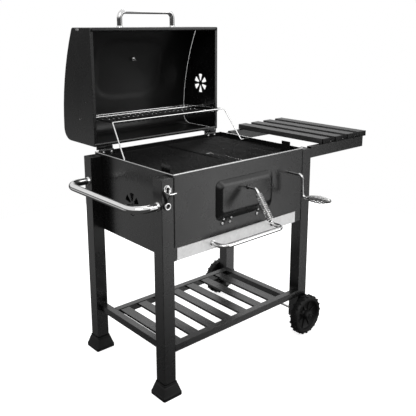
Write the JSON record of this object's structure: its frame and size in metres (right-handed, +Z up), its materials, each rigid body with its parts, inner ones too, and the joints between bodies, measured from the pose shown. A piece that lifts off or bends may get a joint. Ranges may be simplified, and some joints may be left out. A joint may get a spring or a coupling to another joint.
{
  "type": "charcoal grill trolley",
  "caption": "Charcoal grill trolley: firebox on square tube legs, open hinged lid, warming rack, fire door, ash drawer, crank-lifted charcoal tray, side table, slatted shelf and wheels.",
  "frame": {"origin": "on the floor, under the centre of the bounding box of the trolley with its lid open", "axes": "+X along the trolley towards the side table and the wheels, +Y from the front with the fire door to the back, +Z up"},
  "size_m": [1.1642, 0.8846, 1.27],
  "materials": {
    "black_coat": "satin powder coat",
    "slat_coat": "satin grey-black coat with a faint grain",
    "bright_chrome": "bright plated",
    "zinc_sheet": "bright galvanised sheet",
    "enamel": "black enamel",
    "black_plastic": "moulded black plastic"
  },
  "bodies": {
    "trolley": {"front_panel": "black_coat", "rear_panel": "black_coat", "left_panel": "black_coat", "right_panel": "black_coat", "front_left_leg": "black_coat", "rear_left_leg": "black_coat", "front_right_leg": "black_coat", "rear_right_leg": "black_coat", "front_foot": "black_plastic", "rear_foot": "black_plastic", "axle": "zinc_sheet", "front_table_rail": "black_coat", "rear_table_rail": "black_coat", "table_slat_1": "slat_coat", "table_slat_2": "slat_coat", "table_slat_3": "slat_coat", "table_slat_4": "slat_coat", "front_shelf_rail": "black_coat", "left_shelf_rail": "black_coat", "right_shelf_rail": "black_coat", "rear_shelf_rail": "black_coat", "shelf_slat_1": "black_coat", "shelf_slat_2": "black_coat", "shelf_slat_3": "black_coat", "shelf_slat_4": "black_coat", "shelf_slat_5": "black_coat", "shelf_slat_6": "black_coat", "shelf_slat_7": "black_coat", "side_handle": "bright_chrome", "bottle_opener": "bright_chrome", "left_door_hinge": "black_coat", "right_door_hinge": "black_coat", "left_hinge_base": "black_coat", "right_hinge_base": "black_coat", "left_cooking_grate": "enamel", "right_cooking_grate": "enamel"},
    "lid": {"lid_shell": "black_coat", "lid_left_side": "black_coat", "lid_right_side": "black_coat", "lid_handle": "bright_chrome", "thermometer": "bright_chrome", "left_hinge_leaf": "black_coat", "right_hinge_leaf": "black_coat"},
    "lid_vent": {"lid_vent_disc": "black_coat"},
    "firebox_vent": {"firebox_vent_disc": "black_coat"},
    "rack": {"warming_rack": "bright_chrome"},
    "left_link": {"left_rack_link": "bright_chrome"},
    "right_link": {"right_rack_link": "bright_chrome"},
    "fire_door": {"fire_door": "black_coat"},
    "latch": {"door_latch": "bright_chrome"},
    "drawer": {"ash_drawer": "zinc_sheet", "drawer_handle": "bright_chrome"},
    "crank": {"crank": "bright_chrome", "crank_grip": "bright_chrome"},
    "tray": {"charcoal_tray": "enamel"},
    "front_wheel": {"front_wheel": "black_plastic"},
    "rear_wheel": {"rear_wheel": "black_plastic"}
  },
  "joints": [
    {"name": "lid_hinge", "type": "hinge", "parent": "trolley", "child": "lid", "pos_m": [-0.12965, 0.20987, 0.756], "axis": [1, 0, 0], "range_deg": [0, 90]},
    {"name": "rack_pivot", "type": "hinge", "parent": "lid", "child": "rack", "pos_m": [-0.12965, 0.31127, 0.8646], "axis": [1, 0, 0], "range_deg": [-82, 0]},
    {"name": "left_link_pivot", "type": "hinge", "parent": "trolley", "child": "left_link", "pos_m": [-0.41965, 0.05027, 0.75], "axis": [1, 0, 0], "range_deg": [0, 90]},
    {"name": "right_link_pivot", "type": "hinge", "parent": "trolley", "child": "right_link", "pos_m": [0.16035, 0.05027, 0.75], "axis": [1, 0, 0], "range_deg": [0, 90]},
    {"name": "fire_door_hinge", "type": "hinge", "parent": "trolley", "child": "fire_door", "pos_m": [-0.12665, -0.25933, 0.5635], "axis": [-1, 0, 0], "range_deg": [-65, 0]},
    {"name": "latch_turn", "type": "hinge", "parent": "fire_door", "child": "latch", "pos_m": [-0.12665, -0.27073, 0.668], "axis": [0, 1, 0], "range_deg": [0, 90]},
    {"name": "drawer_slide", "type": "slide", "parent": "trolley", "child": "drawer", "axis": [0, -1, 0], "range_m": [0, 0.3]},
    {"name": "crank_turn", "type": "hinge", "parent": "trolley", "child": "crank", "pos_m": [0.10335, -0.25573, 0.679], "axis": [0, 1, 0], "range_deg": [-35, 35]},
    {"name": "tray_lift", "type": "slide", "parent": "trolley", "child": "tray", "axis": [0, 0, 1], "range_m": [-0.036, 0.036]},
    {"name": "front_wheel_spin", "type": "hinge", "parent": "trolley", "child": "front_wheel", "pos_m": [0.20365, -0.28173, 0.08], "axis": [0, 1, 0], "continuous": true},
    {"name": "rear_wheel_spin", "type": "hinge", "parent": "trolley", "child": "rear_wheel", "pos_m": [0.20365, 0.23027, 0.08], "axis": [0, 1, 0], "continuous": true},
    {"name": "lid_vent_turn", "type": "hinge", "parent": "lid", "child": "lid_vent", "pos_m": [0.17435, 0.32427, 0.96], "axis": [1, 0, 0], "range_deg": [0, 30]},
    {"name": "firebox_vent_turn", "type": "hinge", "parent": "trolley", "child": "firebox_vent", "pos_m": [-0.43665, -0.02573, 0.612], "axis": [1, 0, 0], "range_deg": [0, 30]}
  ],
  "couplings": [
    {"joint": "rack_pivot", "follows": "lid_hinge", "ratio": -0.91},
    {"joint": "left_link_pivot", "follows": "lid_hinge", "ratio": 0.99},
    {"joint": "right_link_pivot", "follows": "lid_hinge", "ratio": 0.99},
    {"joint": "tray_lift", "follows": "crank_turn", "m_per_rad": 0.057}
  ]
}
